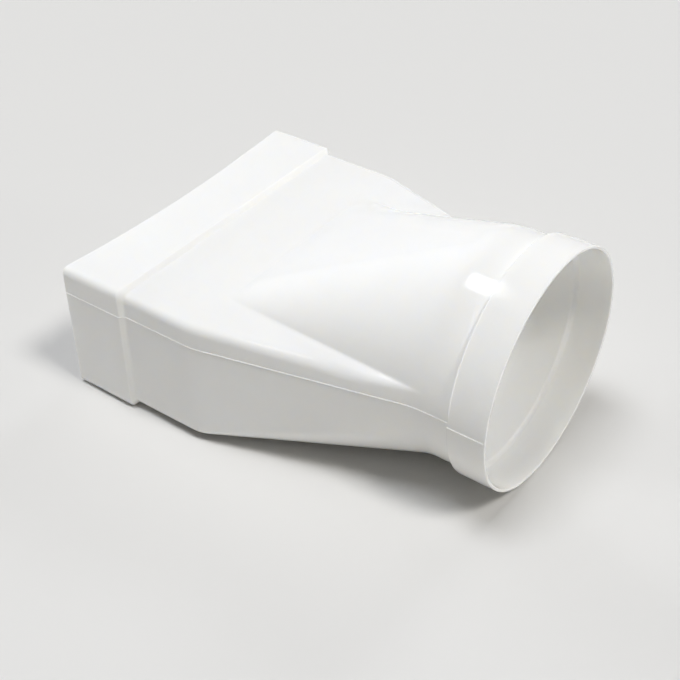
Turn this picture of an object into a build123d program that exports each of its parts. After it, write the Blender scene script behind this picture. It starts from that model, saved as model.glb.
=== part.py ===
from build123d import *
import os
from math import asin, atan2, cos, degrees, sin, sqrt, tan

# Rectangular to round duct adapter, moulded in one piece. Sizes in millimetres.
# +X runs along the round duct's axis and out of the round mouth, +Z is up, and the
# origin is on that axis at the shoulder where the round duct stops. Stations are
# measured along the duct from the rectangular mouth.

# Ducts that slide into the two sockets, and their clearance on each side
flat_duct_width = 220.0
flat_duct_height = 90.0
flat_duct_clearance = 0.5
round_duct_diameter = 153.0
round_duct_clearance = 0.5

# Walls and sockets
wall = 2.0
flat_socket_depth = 46.5
round_socket_depth = 23.2
axis_rise = 28.25           # round axis above the middle of the flat duct

# Lengths along the duct, from the rectangular socket to the round one
flat_step_length = 3.0
body_length = 54.7
taper_length = 139.5
neck_length = 23.2
round_step_length = 3.5

# Steps from the collars in to the body and the neck
flat_step = 3.0
round_step = 3.5

# Roundings
corner_radius = 5.0         # long corners of the rectangular end
bend_radius = 55.0          # soft bend where the sides start to taper
step_radius = 1.5           # top and foot of both steps
rim_radius = 0.6            # edges of both mouths

# The wide walls of the rectangular mouth are drawn in at the middle by shrinkage
mouth_sag = 5.3

# The ramp up to the neck starts at a crease across the flat top and leaves a flat ear
# on each side, which narrows to a tip on the neck
ear_width = 37.0
crease_end = 25.0           # stretch at each end of the crease where the ramp turns into a hood

# Arcs, in degrees, where the panels of the transition run out on the neck
panel_tip = 2.0             # half the arc of the ramp and of the bottom
side_foot = 20.0            # a side panel's foot, below the neck's middle
ear_tip = 3.4               # an ear, from its outer edge to the hood
corner_tip = 1.0            # the rounded corner between a side panel and an ear

# Fine ridge that the mould's parting plane leaves along both sides
ridge_height = 0.45
ridge_width = 1.0
ridge_end_gap = 1.0         # the ridge stops short of both rims

bend_overlap = 0.03         # lets the soft bend cross the walls instead of grazing them
plane_band = 0.01           # how near to a cross plane an edge counts as lying in it


def shoulder_cover(step, length):
    """How far a step's slope stands off the socket's shoulder, to keep the wall's thickness."""
    return wall * (sqrt(step**2 + length**2) - length) / step


# Sizes that follow from those above
collar_width = flat_duct_width + 2 * (flat_duct_clearance + wall)
collar_height = flat_duct_height + 2 * (flat_duct_clearance + wall)
body_width = collar_width - 2 * flat_step
body_height = collar_height - 2 * flat_step
round_socket_radius = round_duct_diameter / 2 + round_duct_clearance
round_collar_radius = round_socket_radius + wall
neck_radius = round_collar_radius - round_step
inner_corner = corner_radius - wall

# Stations
flat_step_start = flat_socket_depth + shoulder_cover(flat_step, flat_step_length)
flat_step_end = flat_step_start + flat_step_length
bend = flat_step_end + body_length
neck_start = bend + taper_length
round_step_start = neck_start + neck_length
round_step_end = round_step_start + round_step_length
round_shoulder = round_step_end + shoulder_cover(round_step, round_step_length)
total_length = round_shoulder + round_socket_depth


def x_at(distance):
    """X of a station."""
    return distance - round_shoulder


def station(distance):
    """Cross plane of a station."""
    return Plane.YZ.offset(x_at(distance))


def flat_section(distance, width, height, corner, sag):
    """Rounded rectangle at a station, its wide sides drawn in at the middle by the sag."""
    half = width / 2
    top = height / 2 - axis_rise
    bottom = -height / 2 - axis_rise
    with BuildSketch(station(distance)) as section:
        with BuildLine():
            Line((half, bottom), (half, top))
            Line((-half, top), (-half, bottom))
            if sag > 0:
                ThreePointArc((half, top), (0, top - sag), (-half, top))
                ThreePointArc((-half, bottom), (0, bottom + sag), (half, bottom))
            else:
                Line((half, top), (-half, top))
                Line((-half, bottom), (half, bottom))
        make_face()
        fillet(section.vertices(), corner)
    return section.sketch


def bend_wire(inset):
    """Outline where the taper starts, its top edge cut where the ramp, hood and ears meet."""
    half = body_width / 2 - inset
    top = body_height / 2 - axis_rise - inset
    bottom = -body_height / 2 - axis_rise + inset
    corner = corner_radius - inset
    ear = half - ear_width
    crease = ear - crease_end
    outline = [
        Line((corner - half, bottom), (half - corner, bottom)),
        RadiusArc((half - corner, bottom), (half, bottom + corner), -corner),
        Line((half, bottom + corner), (half, top - corner)),
        RadiusArc((half, top - corner), (half - corner, top), -corner),
        Line((half - corner, top), (ear, top)),
        Line((ear, top), (crease, top)),
        Line((crease, top), (-crease, top)),
        Line((-crease, top), (-ear, top)),
        Line((-ear, top), (corner - half, top)),
        RadiusArc((corner - half, top), (-half, top - corner), -corner),
        Line((-half, top - corner), (-half, bottom + corner)),
        RadiusArc((-half, bottom + corner), (corner - half, bottom), -corner),
    ]
    return Wire([(station(bend) * edge).edge() for edge in outline])


def neck_wire(inset):
    """Circle at the neck, cut into arcs that answer the edges of the bend outline."""
    radius = neck_radius - inset
    top = body_height / 2 - axis_rise - inset
    ear = degrees(asin(top / radius))
    side_head = ear - ear_tip - corner_tip
    right = [panel_tip - 90, -side_foot, side_head, ear - ear_tip, ear, 90 - panel_tip]
    left = [180 - angle for angle in reversed(right)]
    ends = [-90 - panel_tip] + right + left
    arcs = [
        CenterArc((0, 0), radius, start, end - start)
        for start, end in zip(ends[:-1], ends[1:])
    ]
    return Wire([(station(neck_start) * arc).edge() for arc in arcs])


def transition(inset):
    """Flat panels and oblique cones between the rectangular body and the round neck."""
    return Solid.make_loft([bend_wire(inset), neck_wire(inset)], ruled=True)


def side_line(offset):
    """One side of the adapter in its parting plane, moved out by the offset."""
    path = [
        (ridge_end_gap, collar_width / 2),
        (flat_step_start, collar_width / 2),
        (flat_step_end, body_width / 2),
        (bend, body_width / 2),
        (neck_start, neck_radius),
        (round_step_start, neck_radius),
        (round_step_end, round_collar_radius),
        (total_length - ridge_end_gap, round_collar_radius),
    ]
    return [(x_at(distance), y + offset) for distance, y in path]


def in_plane(shapes, distance):
    """Those of the edges or vertices that lie in the cross plane of a station."""
    x = x_at(distance)
    return shapes.filter_by_position(Axis.X, x - plane_band, x + plane_band)


# Sections of the rectangular end, outside and inside
collar_mouth = flat_section(0, collar_width, collar_height, corner_radius, mouth_sag)
collar_end = flat_section(flat_step_start, collar_width, collar_height, corner_radius, 0)
body_start = flat_section(flat_step_end, body_width, body_height, corner_radius, 0)

socket_width = collar_width - 2 * wall
socket_height = collar_height - 2 * wall
socket_mouth = flat_section(0, socket_width, socket_height, inner_corner, mouth_sag)
socket_end = flat_section(flat_socket_depth, socket_width, socket_height, inner_corner, 0)

passage_width = body_width - 2 * wall
passage_height = body_height - 2 * wall
passage_start = flat_section(flat_socket_depth, passage_width, passage_height, inner_corner, 0)

# Circle that rounds the bend of the side wall, in plan
taper_angle = atan2(body_width / 2 - neck_radius, taper_length)
bend_centre = (
    x_at(bend) - bend_radius * tan(taper_angle / 2) + bend_overlap * sin(taper_angle / 2),
    body_width / 2 - bend_radius + bend_overlap * cos(taper_angle / 2),
)

with BuildPart() as adapter:
    # Outside of the rectangular end and the taper
    loft([collar_mouth, collar_end], ruled=True)
    loft([collar_end, body_start], ruled=True)
    extrude(body_start, amount=body_length)
    add(transition(0))

    # Outside of the round end
    with BuildSketch(Plane.XZ):
        with BuildLine():
            Polyline(
                (x_at(neck_start), 0),
                (x_at(neck_start), neck_radius),
                (x_at(round_step_start), neck_radius),
                (x_at(round_step_end), round_collar_radius),
                (x_at(total_length), round_collar_radius),
                (x_at(total_length), 0),
                close=True,
            )
        make_face()
    revolve(axis=Axis.X)

    # Hollow: rectangular socket, passage, taper, neck and round socket
    loft([socket_mouth, socket_end], ruled=True, mode=Mode.SUBTRACT)
    extrude(passage_start, amount=bend - flat_socket_depth, mode=Mode.SUBTRACT)
    add(transition(wall), mode=Mode.SUBTRACT)
    with BuildSketch(station(neck_start)):
        Circle(neck_radius - wall)
    extrude(amount=total_length - neck_start, mode=Mode.SUBTRACT)
    with BuildSketch(station(round_shoulder)):
        Circle(round_socket_radius)
    extrude(amount=round_socket_depth, mode=Mode.SUBTRACT)

    # Soft bend of both side walls
    with BuildSketch(Plane.XY):
        with BuildLine():
            bend_arc = CenterArc(
                bend_centre, bend_radius, 90 - degrees(taper_angle), degrees(taper_angle)
            )
            Polyline(bend_arc @ 0, (x_at(bend), collar_width), bend_arc @ 1)
        make_face()
        mirror(about=Plane.XZ)
    extrude(amount=collar_height, both=True, mode=Mode.SUBTRACT)

    # Roundings of the steps and the rims
    for edge_station in (flat_step_start, flat_step_end, round_step_start, round_step_end):
        fillet(in_plane(adapter.edges(), edge_station), step_radius)
    for edge_station in (0, total_length):
        fillet(in_plane(adapter.edges(), edge_station), rim_radius)

    # Parting ridge
    with BuildSketch(Plane.XY) as ridge:
        with BuildLine():
            Polyline(
                *side_line(ridge_height), *reversed(side_line(-wall / 2)), close=True
            )
        make_face()
        fillet(in_plane(ridge.vertices(), bend), bend_radius)
        mirror(about=Plane.XZ)
    extrude(amount=ridge_width / 2, both=True)

adapter.part.label = "duct_adapter"
os.makedirs("parts", exist_ok=True)
export_step(adapter.part, "parts/duct_adapter.step")
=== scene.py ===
from math import cos, pi, radians, sin, sqrt, tan

import bpy
import numpy as np
from mathutils import Matrix, Vector


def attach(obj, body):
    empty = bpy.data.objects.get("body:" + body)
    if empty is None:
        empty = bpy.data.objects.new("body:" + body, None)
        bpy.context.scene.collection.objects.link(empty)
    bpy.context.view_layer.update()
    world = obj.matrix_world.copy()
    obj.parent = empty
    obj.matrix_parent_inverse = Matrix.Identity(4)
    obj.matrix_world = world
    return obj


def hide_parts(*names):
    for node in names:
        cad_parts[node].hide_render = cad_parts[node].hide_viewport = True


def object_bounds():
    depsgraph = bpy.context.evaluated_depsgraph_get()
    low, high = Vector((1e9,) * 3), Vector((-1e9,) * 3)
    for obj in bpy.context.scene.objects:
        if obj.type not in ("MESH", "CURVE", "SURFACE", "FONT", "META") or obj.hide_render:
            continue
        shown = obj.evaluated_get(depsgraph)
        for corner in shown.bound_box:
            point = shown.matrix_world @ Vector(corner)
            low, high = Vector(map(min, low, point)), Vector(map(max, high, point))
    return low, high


# A glossy white plastic adapter from a flat duct to a round one, lying on a pale floor.
# The moulded surface is built ring by ring along the duct, in the sizes of the solid.

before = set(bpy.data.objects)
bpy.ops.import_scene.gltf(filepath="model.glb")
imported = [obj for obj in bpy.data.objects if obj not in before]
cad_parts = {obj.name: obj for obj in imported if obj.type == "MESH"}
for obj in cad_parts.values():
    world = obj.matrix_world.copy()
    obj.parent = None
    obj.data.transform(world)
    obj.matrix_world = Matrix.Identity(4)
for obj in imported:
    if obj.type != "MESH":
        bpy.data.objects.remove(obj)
cad_low, cad_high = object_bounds()
MM = 0.001

# Sizes in millimetres. Stations run along the duct from the rectangular mouth.
collar_width = 225.0
collar_height = 95.0
round_collar_radius = 79.0
axis_rise = 28.25           # round axis above the middle of the flat duct
wall = 2.0
flat_step = 3.0
round_step = 3.5
flat_socket_depth = 46.5
round_socket_depth = 23.2
body_length = 54.7
taper_length = 139.5
neck_length = 23.2
corner_radius = 5.0
mouth_sag = 5.3             # how far the wide walls are drawn in at the middle of the mouth
ear_width = 37.0            # flat stretch left on each side of the ramp
crease_end = 25.0           # stretch at each end of the crease where the hood starts
rim_radius = 0.6
ridge_height = 0.45
ridge_width = 1.0
ridge_crest = 0.3
ridge_end_gap = 1.0         # the ridge stops short of both rims

# Arcs in degrees where the panels of the transition run out on the neck
panel_tip = 2.0             # half the arc of the ramp and of the bottom
side_foot = 20.0            # a side panel's foot, below the neck's middle
ear_end_arc = 10.0          # the valley between an ear and the hood, above the neck's middle
ear_tip = 1.2               # an ear, from its outer edge to the valley
corner_tip = 0.9            # the rounded corner between a side panel and an ear

# Half lengths of the soft bends along the duct
side_bend = 6.6
crease_bend = 1.6
neck_bend = 7.0
step_bend = 0.62
round_step_bend = 0.3
shoulder_bend = 0.7

# How far the roundings reach along the outline, and the most they take of a narrowing ear
valley_reach = 1.2
corner_reach = 5.85
valley_share = 0.38
corner_share = 0.6

# Lengths of the steep slopes at the inner shoulders and the round step
shoulder_run = 1.8
round_step_run = 0.7

# Rings of the mesh: margins along the duct, and the count in a rim's rounding
mouth_margin = 4.0
step_margin = 1.2
hair = 0.001                # gap between the rings where the ridge starts and ends
rim_rings = 5
sharp_angle = 38            # edges bent by more degrees than this stay sharp

# Stations. A step climbs at 45 degrees and keeps the wall's thickness at the shoulder
shoulder_cover = wall * (sqrt(2) - 1)
flat_step_start = flat_socket_depth + shoulder_cover
flat_step_end = flat_step_start + flat_step
flat_shoulder_end = flat_socket_depth + shoulder_run
bend = flat_step_end + body_length
neck_start = bend + taper_length
round_step_start = neck_start + neck_length
round_step_end = round_step_start + round_step
round_shoulder = round_step_end + shoulder_cover
round_shoulder_start = round_shoulder - shoulder_run
total_length = round_shoulder + round_socket_depth
mouth_x = cad_low.x / MM


def soft_ramp(distance, soft):
    """0 before the start and the distance after it, with a rounded bend at the start."""
    bent = (distance + soft) ** 2 / (4 * soft)
    return np.where(distance < -soft, 0.0, np.where(distance > soft, distance, bent))


def eased(distance, length, start_soft, end_soft):
    """Share of a slope, from 0 to 1, with a rounded bend at each end."""
    climbed = soft_ramp(distance, start_soft)
    return 1 - soft_ramp(length - climbed, end_soft) / length


def arc(centre, radius, start, end, shares):
    """Points of an arc between two angles in degrees."""
    angles = np.radians(start + (end - start) * shares)
    return np.stack([centre[0] + radius * np.cos(angles), centre[1] + radius * np.sin(angles)], 1)


def line(start, end, shares):
    """Points of a straight line."""
    return np.outer(1 - shares, start) + np.outer(shares, end)


def round_corner(outline, index, reach):
    """Replaces the corner at an index by a smooth bend that reaches as far on both sides."""
    steps = np.linalg.norm(np.diff(outline, axis=0), axis=1)
    along = np.concatenate([[0.0], np.cumsum(steps)])
    along -= along[index]
    first, last = [
        np.array([np.interp(place, along, outline[:, axis]) for axis in (0, 1)])
        for place in (-reach, reach)
    ]
    near = np.abs(along) < reach
    share = ((along[near] + reach) / (2 * reach))[:, None]
    corner = outline[index].copy()
    outline[near] = (1 - share) ** 2 * first + 2 * share * (1 - share) * corner + share**2 * last


# Shares of the outline's pieces at which its points lie, the last point of a piece left out.
# On the hood they crowd towards the valley.
even = {count: np.linspace(0, 1, count, endpoint=False) for count in (8, 10, 14, 40)}
hood_crowding = 1.8
from_valley = even[40] ** hood_crowding
to_middle = np.append(even[10], 1.0)


def ridge_shares(low_reach, high_reach):
    """Shares of the side below and above the parting plane, with the ridge's foot and crest."""
    low_foot = 1 + ridge_width / 2 / low_reach
    low_crest = 1 + ridge_crest / 2 / low_reach
    high_foot = ridge_width / 2 / high_reach
    high_crest = ridge_crest / 2 / high_reach
    low = np.append(even[10] * low_foot, [low_foot, low_crest])
    high = np.append([high_crest], high_foot + even[8] * (1 - high_foot))
    return low, high


def half_outline(station, flat_inset, round_inset, inside):
    """Right half of the adapter's outline at a station, from bottom middle to top middle."""
    skin = wall if inside else 0.0
    low_corner = corner_radius - skin
    high_corner = corner_reach - skin
    socket_end = flat_socket_depth if inside else flat_step_start
    half = collar_width / 2 - flat_inset
    top = collar_height / 2 - axis_rise - flat_inset
    bottom = -collar_height / 2 - axis_rise + flat_inset
    valley = half - ear_width
    crease = valley - crease_end
    radius = round_collar_radius - round_inset
    ear_edge = ear_end_arc - ear_tip
    corner_edge = ear_edge - corner_tip / 2
    side_head = ear_edge - corner_tip

    # The parting ridge's columns stand at fixed heights on the side
    side_share = eased(station - bend, taper_length, side_bend, neck_bend)
    low_reach = (1 - side_share) * (bottom + low_corner) - side_share * radius * radians(side_foot)
    high_reach = (1 - side_share) * (top - high_corner) + side_share * radius * radians(side_head)
    low, high = ridge_shares(low_reach, high_reach)

    def straight(start, end, shares):
        return line(start, end, shares), shares

    def quarter(shares):
        return arc((half - low_corner, bottom + low_corner), low_corner, -90, 0, shares), shares

    # Each piece of the flat outline, with the angle on the neck where the piece starts
    pieces = [
        (straight((0, bottom), (half - low_corner, bottom), even[10]), -90),
        (quarter(even[40]), panel_tip - 90),
        (straight((half, bottom + low_corner), (half, 0), low), -side_foot),
        (straight((half, 0), (half, top - high_corner), high), 0),
        (straight((half, top - high_corner), (half, top), even[8]), side_head),
        (straight((half, top), (half - high_corner, top), even[8]), corner_edge),
        (straight((half - high_corner, top), (valley, top), even[14]), ear_edge),
        (straight((valley, top), (crease, top), from_valley), ear_end_arc),
        (straight((crease, top), (0, top), to_middle), 90 - panel_tip),
    ]
    angles = [angle for _, angle in pieces] + [90]
    flat = np.vstack([points for (points, _), _ in pieces])
    neck = np.vstack([
        arc((0, 0), radius, start, end, shares)
        for ((_, shares), start), end in zip(pieces, angles[1:])
    ])
    ends = np.cumsum([len(points) for (points, _), _ in pieces])
    parting, corner, ear_end = ends[2], ends[4], ends[6]

    # Shrinkage draws the wide sides in towards the mouth
    sag = mouth_sag * max(0.0, 1 - station / socket_end)
    middle = -axis_rise
    flat[:, 1] -= np.sign(flat[:, 1] - middle) * sag * (1 - (flat[:, 0] / half) ** 2)

    # The bend is soft at the sides and tight at the crease
    places = np.arange(len(flat))
    bends = np.interp(places, [corner, ear_end], [side_bend, crease_bend])
    share = eased(station - bend, taper_length, bends, neck_bend)[:, None]
    outline = (1 - share) * flat + share * neck

    # Rounded corner above the side, and rounded valley between the ear and the hood
    ear_length = np.linalg.norm(outline[ear_end] - outline[corner])
    round_corner(outline, corner, min(high_corner, corner_share * ear_length))
    round_corner(outline, ear_end, min(valley_reach, valley_share * ear_length))

    if not inside and ridge_end_gap < station < total_length - ridge_end_gap:
        outline[[parting - 1, parting], 0] += ridge_height
    return outline


def ring(station, flat_inset, round_inset, inside):
    """Closed ring of points at a station, in metres of the row's frame."""
    right = half_outline(station, flat_inset, round_inset, inside)
    left = right[-2:0:-1] * [-1, 1]
    outline = np.vstack([right, left])
    x = np.full(len(outline), mouth_x + station)
    return np.column_stack([x, outline]) * MM


def wall_rows(stations, inside):
    """Rings of the outer or the inner wall."""
    if inside:
        skin, flat_soft, round_soft = wall, shoulder_bend, shoulder_bend
        flat_start, flat_run = flat_socket_depth, shoulder_run
        round_start, round_run = round_shoulder_start, shoulder_run
    else:
        skin, flat_soft, round_soft = 0.0, step_bend, round_step_bend
        flat_start, flat_run = flat_step_start, flat_step
        round_start, round_run = round_step_start + round_step / 2, round_step_run
    rows = []
    for station in stations:
        sunk = eased(station - flat_start, flat_run, flat_soft, flat_soft)
        risen = eased(station - round_start, round_run, round_soft, round_soft)
        flat_inset = skin + flat_step * sunk
        round_inset = skin + round_step * (1 - risen)
        rows.append(ring(station, flat_inset, round_inset, inside))
    return rows


def rim_rows(mouth, inward, inside):
    """Rings of one rounded edge of a mouth, from the flat of the rim to the wall."""
    rows = []
    for angle in np.linspace(0, pi / 2, rim_rings, endpoint=False):
        station = mouth + inward * rim_radius * (1 - np.cos(angle))
        inset = rim_radius * (1 - np.sin(angle))
        if inside:
            inset = wall - inset
        rows.append(ring(station, inset, inset, inside))
    return rows


def stretch(start, end, count):
    """Stations from start to just before end."""
    return np.linspace(start, end, count, endpoint=False)


outer_stations = np.concatenate([
    [rim_radius, ridge_end_gap, ridge_end_gap + hair],
    stretch(mouth_margin, flat_step_start - step_margin, 8),
    stretch(flat_step_start - step_margin, flat_step_end + step_margin, 18),
    stretch(flat_step_end + step_margin, bend - side_bend, 6),
    stretch(bend - side_bend, bend + side_bend, 18),
    stretch(bend + side_bend, neck_start - neck_bend, 34),
    stretch(neck_start - neck_bend, neck_start + neck_bend, 14),
    stretch(neck_start + neck_bend, round_step_start - step_margin, 6),
    stretch(round_step_start - step_margin, round_step_end + step_margin, 44),
    stretch(round_step_end + step_margin, total_length - ridge_end_gap - hair, 6),
    [total_length - ridge_end_gap - hair, total_length - ridge_end_gap, total_length - rim_radius],
])
inner_stations = np.concatenate([
    [rim_radius],
    stretch(mouth_margin, flat_socket_depth - shoulder_bend, 8),
    stretch(flat_socket_depth - shoulder_bend, flat_shoulder_end + shoulder_bend, 12),
    stretch(flat_shoulder_end + shoulder_bend, bend - side_bend, 5),
    stretch(bend - side_bend, bend + side_bend, 12),
    stretch(bend + side_bend, neck_start - neck_bend, 26),
    stretch(neck_start - neck_bend, neck_start + neck_bend, 10),
    stretch(neck_start + neck_bend, round_shoulder_start - shoulder_bend, 4),
    stretch(round_shoulder_start - shoulder_bend, round_shoulder + shoulder_bend, 12),
    stretch(round_shoulder + shoulder_bend, total_length - rim_radius, 5),
    [total_length - rim_radius],
])


def adapter_mesh():
    """One closed mesh: the outer wall, the round rim, the inner wall and the rectangular rim."""
    rows = rim_rows(0, 1, False) + wall_rows(outer_stations, False)
    rows += rim_rows(total_length, -1, False)[::-1]
    rows += rim_rows(total_length, -1, True) + wall_rows(inner_stations[::-1], True)
    rows += rim_rows(0, 1, True)[::-1]
    count = len(rows[0])
    here = np.arange(len(rows) * count).reshape(len(rows), count)
    after = np.roll(here, -1, axis=0)
    quads = np.stack([here, np.roll(here, -1, axis=1), np.roll(after, -1, axis=1), after], 2)
    mesh = bpy.data.meshes.new("adapter")
    mesh.from_pydata(np.vstack(rows).tolist(), [], quads.reshape(-1, 4).tolist())
    mesh.update()
    mesh.shade_smooth()
    mesh.set_sharp_from_angle(angle=radians(sharp_angle))
    return mesh


def white_plastic():
    """Glossy moulded white plastic: faint clouding, slight waviness and a fine grain."""
    material = bpy.data.materials.new("white_plastic")
    material.use_nodes = True
    nodes = material.node_tree.nodes
    links = material.node_tree.links
    shader = nodes["Principled BSDF"]
    shader.inputs["IOR"].default_value = 1.49
    shader.inputs["Subsurface Weight"].default_value = 1.0
    shader.inputs["Subsurface Radius"].default_value = (1.0, 0.95, 0.85)
    shader.inputs["Subsurface Scale"].default_value = 0.0025
    place = nodes.new("ShaderNodeTexCoord")

    def noise(scale, detail):
        node = nodes.new("ShaderNodeTexNoise")
        node.inputs["Scale"].default_value = scale
        node.inputs["Detail"].default_value = detail
        links.new(place.outputs["Object"], node.inputs["Vector"])
        return node.outputs["Fac"]

    clouds = nodes.new("ShaderNodeValToRGB")
    clouds.color_ramp.elements[0].position = 0.3
    clouds.color_ramp.elements[0].color = (0.905, 0.90, 0.876, 1)
    clouds.color_ramp.elements[1].position = 0.7
    clouds.color_ramp.elements[1].color = (0.925, 0.92, 0.896, 1)
    links.new(noise(18.0, 3.0), clouds.inputs["Fac"])
    links.new(clouds.outputs["Color"], shader.inputs["Base Color"])

    gloss = nodes.new("ShaderNodeMapRange")
    gloss.inputs["To Min"].default_value = 0.05
    gloss.inputs["To Max"].default_value = 0.10
    links.new(noise(60.0, 4.0), gloss.inputs["Value"])
    links.new(gloss.outputs["Result"], shader.inputs["Roughness"])

    waves = nodes.new("ShaderNodeBump")
    waves.inputs["Distance"].default_value = 0.0004
    waves.inputs["Strength"].default_value = 0.25
    links.new(noise(22.0, 1.0), waves.inputs["Height"])
    grain = nodes.new("ShaderNodeBump")
    grain.inputs["Distance"].default_value = 0.00002
    grain.inputs["Strength"].default_value = 0.3
    links.new(noise(1400.0, 2.0), grain.inputs["Height"])
    links.new(waves.outputs["Normal"], grain.inputs["Normal"])
    links.new(grain.outputs["Normal"], shader.inputs["Normal"])
    return material


def pale_floor():
    """Matt pale grey."""
    material = bpy.data.materials.new("floor")
    material.use_nodes = True
    shader = material.node_tree.nodes["Principled BSDF"]
    shader.inputs["Base Color"].default_value = (0.742, 0.735, 0.716, 1)
    shader.inputs["Roughness"].default_value = 0.6
    return material


adapter = bpy.data.objects.new("adapter", adapter_mesh())
bpy.context.scene.collection.objects.link(adapter)
adapter.data.materials.append(white_plastic())
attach(adapter, "root")
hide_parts("duct_adapter")

# Floor, tilted a little to touch the rectangular mouth's edge and the round collar
flat_contact = Vector((cad_low.x, 0, (-collar_height / 2 - axis_rise) * MM))
round_contact = Vector(((round_step_end + mouth_x) * MM, 0, cad_low.z))
slope = round_contact - flat_contact
floor_tilt = -np.arctan2(slope.z, slope.x)
floor_half = 4.0
floor_gap = 0.0002
floor_corners = [(x * floor_half, y * floor_half, 0) for x, y in ((-1, -1), (1, -1), (1, 1), (-1, 1))]
floor_mesh = bpy.data.meshes.new("floor")
floor_mesh.from_pydata(floor_corners, [], [(0, 1, 2, 3)])
floor = bpy.data.objects.new("floor", floor_mesh)
bpy.context.scene.collection.objects.link(floor)
floor.matrix_world = (
    Matrix.Translation(flat_contact - Vector((0, 0, floor_gap)))
    @ Matrix.Rotation(floor_tilt, 4, "Y")
)
floor.data.materials.append(pale_floor())


def lamp(name, elevation, bearing, width, strength, colour):
    """Soft distant lamp, kept out of reflections. Its direction and its width are in degrees."""
    data = bpy.data.lights.new(name, "SUN")
    data.angle = radians(width)
    data.energy = strength
    data.color = colour
    light = bpy.data.objects.new(name, data)
    toward = Vector((cos(radians(bearing)), sin(radians(bearing)), tan(radians(elevation))))
    light.rotation_euler = toward.to_track_quat("Z", "Y").to_euler()
    light.visible_glossy = False
    bpy.context.scene.collection.objects.link(light)


# Soft studio light from above, from both ends, from behind and low into the round mouth
cool = (0.93, 0.953, 1.0)
warm = (1.0, 0.985, 0.96)
lamp("overhead", 79, 228, 22, 1.51, cool)
lamp("flat_end", 6, 180, 14, 1.68, cool)
lamp("round_end", 58, 0, 14, 1.49, warm)
lamp("behind", 35, 90, 14, 0.32, cool)
lamp("round_mouth", 6, 25, 14, 0.40, warm)

# Small panel lamp that the neck mirrors as a highlight
panel_data = bpy.data.lights.new("highlight", "AREA")
panel_data.shape = "ELLIPSE"
panel_data.size = 0.45
panel_data.size_y = 0.10
panel_data.energy = 0.6
panel = bpy.data.objects.new("highlight", panel_data)
panel_distance = 1.5
shine_place = Vector((-14, -29, 69.5)) * MM
shine_toward = Vector((-0.384, 0, 0.92))
panel.location = shine_place + panel_distance * shine_toward
panel.rotation_euler = shine_toward.to_track_quat("Z", "Y").to_euler()
bpy.context.scene.collection.objects.link(panel)

# Pale room: it is seen, also in reflections, but adds only a faint light
room_light = 0.05
room_seen = 0.68
world = bpy.data.worlds.new("room")
world.use_nodes = True
room_nodes = world.node_tree.nodes
room_links = world.node_tree.links
room = room_nodes["Background"]
room.inputs["Color"].default_value = (1.0, 0.98, 0.95, 1)
ray = room_nodes.new("ShaderNodeLightPath")
seen = room_nodes.new("ShaderNodeMath")
seen.operation = "MAXIMUM"
room_links.new(ray.outputs["Is Camera Ray"], seen.inputs[0])
room_links.new(ray.outputs["Is Glossy Ray"], seen.inputs[1])
level = room_nodes.new("ShaderNodeMapRange")
level.inputs["To Min"].default_value = room_light
level.inputs["To Max"].default_value = room_seen
room_links.new(seen.outputs["Value"], level.inputs["Value"])
room_links.new(level.outputs["Result"], room.inputs["Strength"])
bpy.context.scene.world = world

# Camera: place and angles that line the adapter up with the photograph's view
camera_data = bpy.data.cameras.new("camera")
camera_data.lens = 65.765
camera = bpy.data.objects.new("camera", camera_data)
camera_place = Vector((255.73, -533.71, 477.16)) * MM
camera_turn = radians(36.12)
camera_down = radians(38.515)
camera_roll = radians(-0.39)
camera.matrix_world = (
    Matrix.Translation(camera_place)
    @ Matrix.Rotation(camera_turn, 4, "Z")
    @ Matrix.Rotation(pi / 2 - camera_down, 4, "X")
    @ Matrix.Rotation(camera_roll, 4, "Z")
)
bpy.context.scene.collection.objects.link(camera)
bpy.context.scene.camera = camera

bpy.context.scene.view_settings.view_transform = "Standard"
